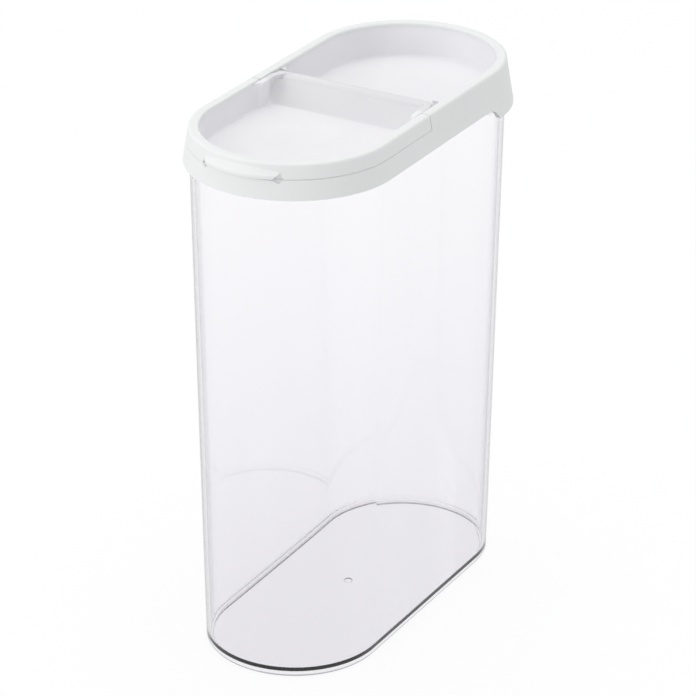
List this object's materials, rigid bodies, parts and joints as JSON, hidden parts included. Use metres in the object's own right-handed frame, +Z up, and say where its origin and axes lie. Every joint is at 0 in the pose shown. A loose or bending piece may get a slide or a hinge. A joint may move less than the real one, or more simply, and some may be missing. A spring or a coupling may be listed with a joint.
{
  "type": "cereal container with flip spout",
  "caption": "Tall clear storage tub with a rounded oblong plan, a press-on lid with a soft white rim, and a flap over the front half of the lid that flips up on a bar to open a pour opening.",
  "frame": {"origin": "middle of the foot, on the plane that it rests on", "axes": "+Z up, -Y towards the flap and its thumb tab, +Y towards the deep grip of the lid, X across the lid along the hinge"},
  "size_m": [0.085, 0.171, 0.2183],
  "materials": {
    "clear_plastic": "clear, glossy",
    "frosted_plastic": "frosted, translucent",
    "soft_white": "satin",
    "gasket": "satin",
    "pin_plastic": "smooth"
  },
  "bodies": {
    "tub": {"container": "clear_plastic"},
    "lid": {"lid_base": "frosted_plastic", "lid_rim": "soft_white", "mouth_gasket": "gasket", "spout_gasket": "gasket"},
    "flap": {"flap_panel": "frosted_plastic", "flap_rim": "soft_white", "hinge_pin_left": "pin_plastic", "hinge_pin_right": "pin_plastic"}
  },
  "joints": [
    {"name": "lid_lift", "type": "slide", "parent": "tub", "child": "lid", "axis": [0, 0, 1], "range_m": [0, 0.03]},
    {"name": "flap_hinge", "type": "hinge", "parent": "lid", "child": "flap", "pos_m": [0, 0.003, 0.21525], "axis": [-1, 0, 0], "range_deg": [0, 120]}
  ]
}
